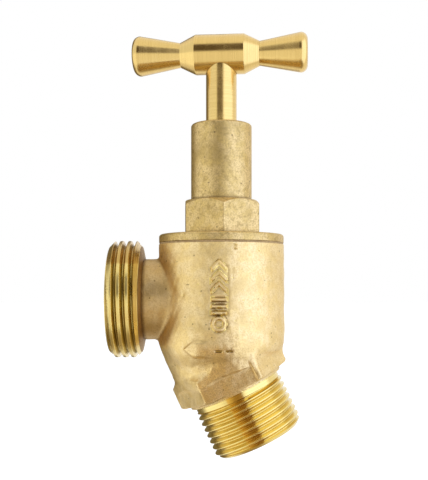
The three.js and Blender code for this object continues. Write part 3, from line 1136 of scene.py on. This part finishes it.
def neck_dulled_and_shaded(n, where, tone):
    """The neck is painted darker than the barrel, as a duller skin and as painted shade, and the
    shoulder behind the outlet's thread more so.
    """
    from_middle = n.add("VectorMath", {0: where, 1: MIDDLE}, operation="SUBTRACT")
    out = n.distance_along(from_middle, OUT_AXIS)
    around = n.add("VectorMath", {0: from_middle, 1: OUT_AXIS}, operation="CROSS_PRODUCT")
    radius = n.add("VectorMath", {0: around}, output=1, operation="LENGTH")
    near_axis = n.rise_mm(radius, OUTLET["neck_r"] + 1, OUTLET["neck_r"] + 0.3)
    on_neck = n.math("MULTIPLY", near_axis, n.rise_mm(out, *NECK_SPAN))
    # Painted shade with a duller skin: the neck, and more so the shoulder, are darkened.
    tone = n.mix(on_neck, tone, NECK_DULL_AND_SHADE, "MULTIPLY")
    on_shoulder = n.rise_mm(out, OUTLET["shoulder"] - 1, OUTLET["shoulder"])
    return n.mix(on_shoulder, tone, SHOULDER_DULL_AND_SHADE, "MULTIPLY")


def facet_dulled_and_shaded(n, where, grain, tone):
    """The ground flat on the front of the hexagon is rough and dull, and what is over it towards the
    front gets the same tones as painted shade.
    """
    forward = n.distance_along(where, (0.0, -1.0, 0.0))
    flat = INLET["hex_corner_r"] * math.cos(math.pi / 6)
    ground = flat - FACET["depth"]
    past_ground = n.rise_mm(forward, ground - 0.6, ground - 0.2)
    behind_flat = n.rise_mm(forward, flat - 0.05, flat - 0.2)
    on_flat = n.math("MULTIPLY", past_ground, behind_flat)
    from_crossing = n.add("VectorMath", {0: where, 1: CROSSING}, operation="SUBTRACT")
    along = n.distance_along(from_crossing, INLET_AXIS)
    across = n.math("ABSOLUTE", n.distance_along(from_crossing, INLET_ACROSS))
    on_facet = n.math("MULTIPLY", on_flat, n.rise_mm(along, 0, 4))
    # Painted shade: the forward part of the blend over the ground flat gets the flat's dull tones.
    over = OVER_FACET_SHADE
    above = n.math("MULTIPLY", n.rise_mm(along, *over["along"]), n.rise_mm(across, *over["across"]))
    facing = n.rise_mm(forward, *over["forward"], 0, over["strength"])
    above = n.math("MULTIPLY", above, facing)
    rough = n.mix(n.rise(grain, 0.35, 0.65), *FACET_DULL_AND_SHADE)
    return n.mix(n.math("MAXIMUM", on_facet, above), tone, rough, "MULTIPLY")


def turned_brass(name, axis, through, pale, deep, polish, upper_shade=0.0, groove_shade=0.3, line_depth=0.003):
    """Lathe-turned brass: fine rings round an axis, with warmer tarnished brass between them.

    The rings are too fine to see one by one, so the shine is also drawn out along the axis.
    The upper side is painted darker as shade, and grooves and corners get painted shade.
    """
    made, n = new_material(name)
    where = n.add("TexCoord", output=3)
    out = n.add("VectorMath", {0: where, 1: through}, operation="SUBTRACT")
    round_way = n.add("VectorMath", {0: axis, 1: out}, operation="CROSS_PRODUCT")
    round_way = n.add(
        "VectorTransform", {0: round_way}, convert_from="OBJECT", convert_to="WORLD"
    )
    along = n.distance_along(out, axis)
    wobble = n.math("MULTIPLY", n.noise(where, 12, 1), 0.25 * MM)
    along = n.math("ADD", along, wobble)
    lines = n.rings(along, 0.3)
    bands = n.rings(along, 1.6)
    stains = n.noise(where, 3.5, 4, 0.6)
    tone = n.mix(n.rise(lines, 0.3, 0.7, 0.45, 1.0), deep, pale)
    tone = n.mix(n.rise(bands, 0.45, 0.75, 0, 0.35), tone, deep)
    tone = n.mix(n.rise(stains, 0.55, 0.8, 0, 0.4), tone, deep)
    # Painted shade: the upper side, past a height over the axis, goes to darker olive-brown tones.
    above = n.distance_along(out, UP_AXIS)
    upper = n.rise_mm(above, UPPER_SIDE_SHADE["from"], UPPER_SIDE_SHADE["to"], 0, upper_shade)
    upper_shade_tone = n.mix(n.rise(lines, 0.4, 0.6), *UPPER_SIDE_SHADE["colours"])
    tone = n.mix(upper, tone, upper_shade_tone)
    # Painted shade: grooves and corners go towards dark olive brown, less so on the upper side.
    groove_shaded = n.rise(corner_shade(n, 1.4), 0.75, 0.3, 0, groove_shade)
    groove_shaded = n.math("MULTIPLY", groove_shaded, n.rise(upper, 0, 1, 1.0, 0.4))
    tone = n.mix(groove_shaded, tone, GROOVE_SHADE_TONE)
    finish_material(
        n,
        Base_Color=tone,
        Metallic=1.0,
        Roughness=n.rise(stains, 0.4, 0.75, polish, polish + 0.1),
        Anisotropic=0.4,
        Anisotropic_Rotation=0.25,
        Tangent=round_way,
        Coat_Weight=n.rise(groove_shaded, 0.3, 0.9, 0.6, 0.1),
        Coat_Roughness=0.3,
        Normal=n.bump(lines, line_depth),
    )
    return made


def soft_material(name, light, dark, fleck, rough):
    """Rubber or fibre: two close shades in flecks of a given size, with a fine grain."""
    made, n = new_material(name)
    where = n.add("TexCoord", output=3)
    flecks = n.noise(where, fleck, 4, 0.6)
    grain = n.noise(where, 0.25, 2)
    finish_material(
        n,
        Base_Color=n.mix(n.rise(flecks, 0.35, 0.65), dark, light),
        Roughness=n.rise(grain, 0.3, 0.7, rough - 0.08, rough + 0.08),
        Normal=n.bump(grain, 0.02),
    )
    return made


# ---------- put the pieces in the frame

BAR_AXIS = (math.cos(HANDLE["turn"]), math.sin(HANDLE["turn"]), 0.0)
INLET_AXIS = (math.sin(INLET["tilt"]), 0.0, -math.cos(INLET["tilt"]))
INLET_ACROSS = (math.cos(INLET["tilt"]), 0.0, math.sin(INLET["tilt"]))
OUT_AXIS = (-1.0, 0.0, 0.0)
UP_AXIS = (0.0, 0.0, 1.0)


def row_point(x, z):
    """A point of the drawing's middle plane in the frame's metres."""
    return tuple(DRAWING_TO_ROW @ Vector((x, 0, z)))


MIDDLE = row_point(0, 0)
CROSSING = row_point(0, INLET["crossing_z"])
BAR_MIDDLE = row_point(0, HANDLE["axis_z"])

BRIGHT = ((0.85, 0.6, 0.2), (0.72, 0.48, 0.14))
YELLOW = ((0.9, 0.71, 0.25), (0.78, 0.57, 0.16))
SKIN = cast_brass(
    "cast_brass",
    pale=(0.94, 0.73, 0.37),
    yellow=(0.91, 0.68, 0.29),
    tan=(0.73, 0.53, 0.23),
    dark=(0.27, 0.17, 0.06),
    mottle=0.4,
    pocks=0.11,
    polish=0.46,
)
FORGED = cast_brass(
    "bonnet_brass",
    pale=(0.8, 0.59, 0.26),
    yellow=(0.7, 0.5, 0.18),
    tan=(0.46, 0.32, 0.12),
    dark=(0.22, 0.14, 0.06),
    mottle=0.75,
    pocks=0.13,
    polish=0.43,
)
TURNED_UP = turned_brass("turned_brass", UP_AXIS, MIDDLE, *BRIGHT, polish=0.2)
TURNED_BAR = turned_brass("turned_brass_bar", BAR_AXIS, BAR_MIDDLE, *BRIGHT, polish=0.2)
OUTLET_BRASS = turned_brass(
    "outlet_brass", OUT_AXIS, MIDDLE, *YELLOW, polish=0.27, upper_shade=0.85, groove_shade=0.6
)
INLET_BRASS = turned_brass(
    "inlet_brass", INLET_AXIS, CROSSING, *YELLOW, polish=0.14, upper_shade=0, groove_shade=0.2
)
FIBRE = soft_material("fibre", (0.5, 0.34, 0.15), (0.38, 0.24, 0.1), fleck=0.8, rough=0.75)
SEAL = soft_material("seal_rubber", (0.035, 0.035, 0.035), (0.02, 0.02, 0.02), fleck=1.2, rough=0.5)
VALVE_RUBBER = soft_material(
    "valve_rubber", (0.06, 0.055, 0.05), (0.035, 0.03, 0.03), fleck=1.2, rough=0.6
)

CREASE = math.radians(32)


def fit_piece(piece, node, body, slot, *materials):
    """Puts a piece into the frame in place of its CAD node, on its body."""
    placed(piece, DRAWING_TO_ROW)
    for material in materials:
        piece.data.materials.append(material)
    piece.data.shade_smooth()
    piece.data.set_sharp_from_angle(angle=CREASE)
    shading = piece.modifiers.new("flat faces stay flat", "WEIGHTED_NORMAL")
    shading.keep_sharp = True
    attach(piece, body)
    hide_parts(node)


fit_piece(tap_body(), "tap_body", "body", "cast_brass", SKIN, OUTLET_BRASS, INLET_BRASS)
fit_piece(bonnet(), "bonnet", "body", "bonnet_brass", FORGED)
fit_piece(body_washer(), "body_washer", "body", "fibre", FIBRE)
fit_piece(spindle(), "spindle", "spindle_and_handle", "turned_brass", TURNED_UP)
fit_piece(tee_handle(), "tee_handle", "spindle_and_handle", "turned_brass", TURNED_BAR)
for ring_name, ring_z in zip(("lower", "upper"), O_RING["centres_z"]):
    node_name = "spindle_o_ring_" + ring_name
    ring = o_ring(node_name + "_fine", ring_z)
    fit_piece(ring, node_name, "spindle_and_handle", "seal_rubber", SEAL)
fit_piece(jumper_valve(), "jumper_valve", "valve", "turned_brass", TURNED_UP)
fit_piece(jumper_washer(), "jumper_washer", "valve", "valve_rubber", VALVE_RUBBER)
fit_piece(jumper_nut(), "jumper_nut", "valve", "turned_brass", TURNED_UP)

# ---------- camera, floor and light

CAMERA = {
    "place": (-3.66, -235.0, 29.61),
    "lens": 61.5,
    "sensor": 36.0,
    "shift": (-0.01875, 0.09375),
}
FLOOR_DROP = 25.0
FLOOR_HALF_WIDTH = 3.0  # metres, far past anything in view
FLAG = {
    "x": -6.8,
    "z": -13.7,
    "distance": 60.0,
    "width": 46.0,
    "up": -19.0,
    "down": 60.0,
    "dark": (0.34, 0.195, 0.045),
    "light": (0.85, 0.6, 0.22),
    "dark_until": -0.3,
}

# Light, then in degrees: the turn left and right, the rise low and high, and half the soft edge.
ROOM = {
    "walls": (0.98, 0.97, 0.95),
    "strength": 1.0,
    "panels": [
        ((1.26, 1.3, 1.34), -104, -40, -60, 50, 8),
        ((0.92, 0.95, 1.0), -104, -40, 8, 50, 5),
        ((1.42, 1.56, 2.0), 18, 92, -60, 50, 8),
        ((0.2, 0.16, 0.075), -179, -114, -34, 45, 10),
        ((0.09, 0.06, 0.02), -33, 11, 6, 48, 6),
        ((0.35, 0.27, 0.16), -179, 179, -95, -59, 10),
    ],
}


def camera():
    data = bpy.data.cameras.new("camera")
    data.lens = CAMERA["lens"]
    data.sensor_width = CAMERA["sensor"]
    data.shift_x, data.shift_y = CAMERA["shift"]
    data.clip_start = 0.01
    eye = new_object("camera", data)
    eye.location = Vector(CAMERA["place"]) * MM
    eye.rotation_euler = (math.pi / 2, 0, 0)
    bpy.context.scene.camera = eye


def floor():
    """A plain pale floor under the tap, out to a distance where it meets the white."""
    half = FLOOR_HALF_WIDTH
    low = CAD_BOX[0].z - FLOOR_DROP * MM
    corners = [(-half, -half, low), (half, -half, low), (half, half, low), (-half, half, low)]
    plane = mesh_object("floor", corners, [(0, 1, 2, 3)])
    made, n = new_material("pale_floor")
    paper = n.noise(n.add("TexCoord", output=3), 3, 2)
    finish_material(
        n,
        Base_Color=n.mix(paper, (0.9, 0.9, 0.9), (0.93, 0.93, 0.93)),
        Roughness=0.9,
        Specular_IOR_Level=0.1,
        Emission_Color=(1.0, 1.0, 1.0, 1.0),
        Emission_Strength=0.3,
    )
    plane.visible_glossy = False
    plane.data.materials.append(made)


def flag():
    """A card before the inlet thread, slanted like it and dark at its right.

    Only shine can see it, so all that it does is draw a brown band down the thread.
    """
    half, centre = FLAG["width"] / 2, Vector((FLAG["x"], -FLAG["distance"], FLAG["z"]))
    down = Vector(INLET_AXIS)
    across = Vector((down.z, 0, -down.x))
    ends = (down * FLAG["up"], down * FLAG["down"])
    corners = [(centre + end + across * side) * MM for end in ends for side in (-half, half)]
    card = mesh_object("flag", corners, [(0, 1, 3, 2)])
    made, n = new_material("flag_card")
    from_centre = n.add(
        "VectorMath", {0: n.add("TexCoord", output=3), 1: centre * MM}, operation="SUBTRACT"
    )
    leftward = n.distance_along(from_centre, across)
    lightens = n.rise_mm(leftward, FLAG["dark_until"] * half, half)
    tone = n.mix(lightens, FLAG["dark"], FLAG["light"])
    finish_material(
        n,
        Base_Color=(0.02, 0.02, 0.02, 1.0),
        Specular_IOR_Level=0.0,
        Emission_Color=tone,
        Emission_Strength=1.0,
    )
    card.visible_camera = card.visible_diffuse = card.visible_shadow = False
    card.data.materials.append(made)


def studio():
    """A white room seen by direction: soft panels, and the dark side where the camera stands."""
    world = bpy.data.worlds.new("studio")
    bpy.context.scene.world = world
    world.use_nodes = True
    n = Nodes(world.node_tree)
    way = n.add("TexCoord", output=0)
    apart = n.tree.nodes.new("ShaderNodeSeparateXYZ")
    n.tree.links.new(way, apart.inputs[0])
    x, y, z = apart.outputs
    turn = n.math("DEGREES", n.math("ARCTAN2", x, n.math("MULTIPLY", y, -1)))
    rise = n.math("DEGREES", n.math("ARCSINE", z))

    def panel(left, right, low, high, edge):
        """1 within a span of turns (from the camera's side, + to the right) and rises."""
        past_left = n.rise(turn, left - edge, left + edge)
        before_right = n.rise(turn, right + edge, right - edge)
        over_low = n.rise(rise, low - edge, low + edge)
        under_high = n.rise(rise, high + edge, high - edge)
        wide = n.math("MULTIPLY", past_left, before_right)
        tall = n.math("MULTIPLY", over_low, under_high)
        return n.math("MULTIPLY", wide, tall)

    light = ROOM["walls"]
    for panel_light, *span in ROOM["panels"]:
        light = n.mix(panel(*span), light, panel_light)
    lit = n.add("Background", {"Color": light, "Strength": ROOM["strength"]})
    white = n.add("Background", {"Color": (1.0, 1.0, 1.0, 1.0), "Strength": 1.0})
    seen = n.add("LightPath", output=0)
    shown = n.add("MixShader", {0: seen, 1: lit, 2: white})
    n.add("OutputWorld", {"Surface": shown})


camera()
floor()
flag()
studio()
bpy.context.scene.view_settings.view_transform = "Standard"
